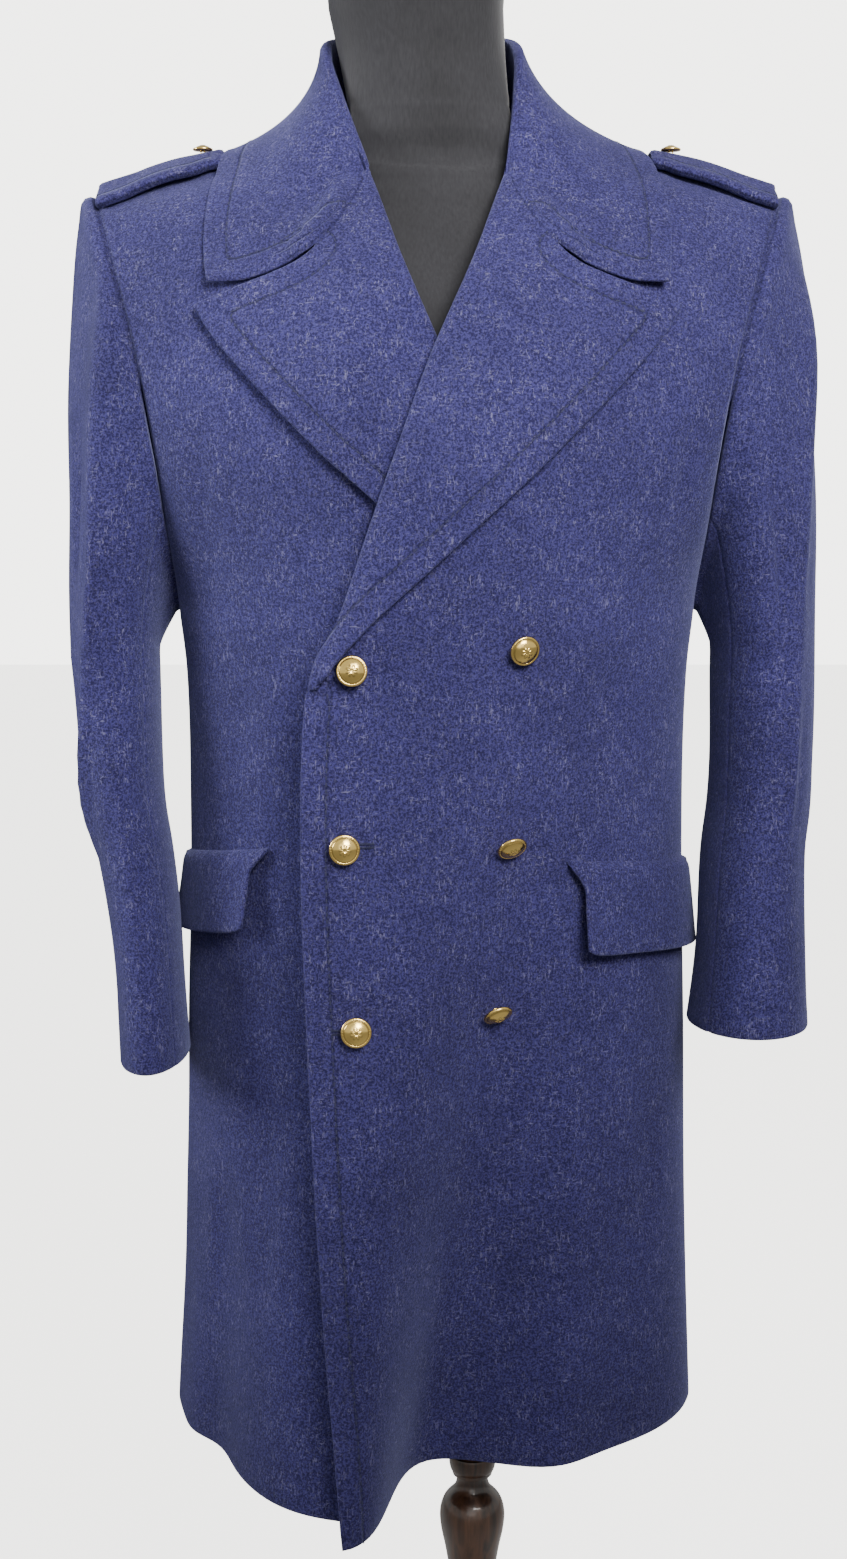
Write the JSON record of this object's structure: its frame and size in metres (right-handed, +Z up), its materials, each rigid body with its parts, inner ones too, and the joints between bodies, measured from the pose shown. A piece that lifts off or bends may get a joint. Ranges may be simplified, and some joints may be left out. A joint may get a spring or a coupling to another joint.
{
  "type": "military greatcoat on a dress form",
  "caption": "Long double-breasted wool greatcoat with wide lapels, shoulder straps and flap pockets, on a limbless form with a turned stand.",
  "frame": {"origin": "centre of the stand base's flat underside, on the floor", "axes": "+Z up along the stand's column, +X to the viewer's right (the wearer's left), and the coat's front faces -Y"},
  "size_m": [0.5692, 0.4086, 1.52],
  "materials": {
    "wool": "matte felted melton, dark air-force blue with paler fibres",
    "brass": "polished gilt",
    "form_cloth": "smooth charcoal jersey",
    "wood": "dark brown varnish, turned"
  },
  "bodies": {
    "root": {"coat_front_left": "wool", "coat_front_right": "wool", "coat_back_left": "wool", "coat_back_right": "wool", "lapel_left": "wool", "lapel_right": "wool", "collar": "wool", "sleeve_left_upper": "wool", "sleeve_left_under": "wool", "epaulette_left": "wool", "pocket_flap_left": "wool", "sleeve_right_upper": "wool", "sleeve_right_under": "wool", "epaulette_right": "wool", "pocket_flap_right": "wool", "cuff_button_left_1": "brass", "cuff_button_left_2": "brass", "epaulette_button_left": "brass", "front_button_left_top": "brass", "front_button_left_middle": "brass", "front_button_left_low": "brass", "cuff_button_right_1": "brass", "cuff_button_right_2": "brass", "epaulette_button_right": "brass", "front_button_right_top": "brass", "front_button_right_middle": "brass", "front_button_right_low": "brass", "form_torso": "form_cloth", "stand_column": "wood", "stand_base": "wood"}
  },
  "joints": []
}
